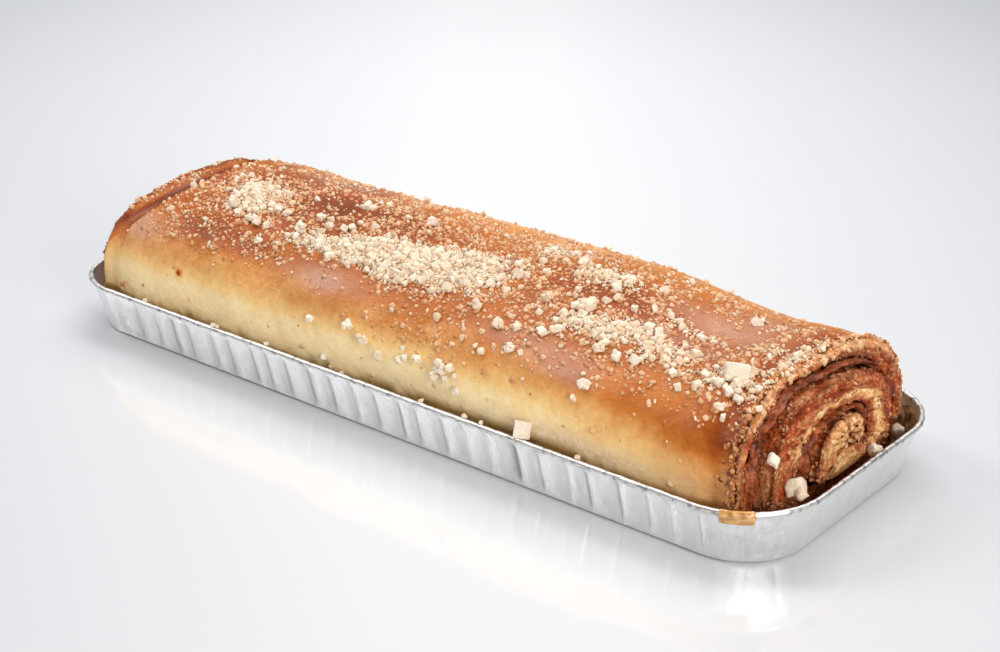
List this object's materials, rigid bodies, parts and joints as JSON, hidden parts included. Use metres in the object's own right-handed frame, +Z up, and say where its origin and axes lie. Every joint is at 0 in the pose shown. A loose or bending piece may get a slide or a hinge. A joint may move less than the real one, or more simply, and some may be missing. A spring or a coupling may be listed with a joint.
{
  "type": "cinnamon strip pastry",
  "caption": "Long yeast dough rolled up with cinnamon filling, topped with streusel and baked in a fluted foil tray, its spiral showing at both ends.",
  "frame": {"origin": "middle of the tray's flat base, on the table", "axes": "+X along the loaf towards the end that shows its spiral in the picture, +Y across it to the back, +Z up"},
  "size_m": [0.31, 0.11, 0.056],
  "materials": {
    "baked_dough": "glazed brown crust, paler towards the tray",
    "cinnamon_filling": "dark, sticky and grainy",
    "foil": "bright pressed foil"
  },
  "bodies": {
    "root": {"dough_roll": "baked_dough", "cinnamon_filling": "cinnamon_filling", "foil_tray": "foil"}
  },
  "joints": []
}
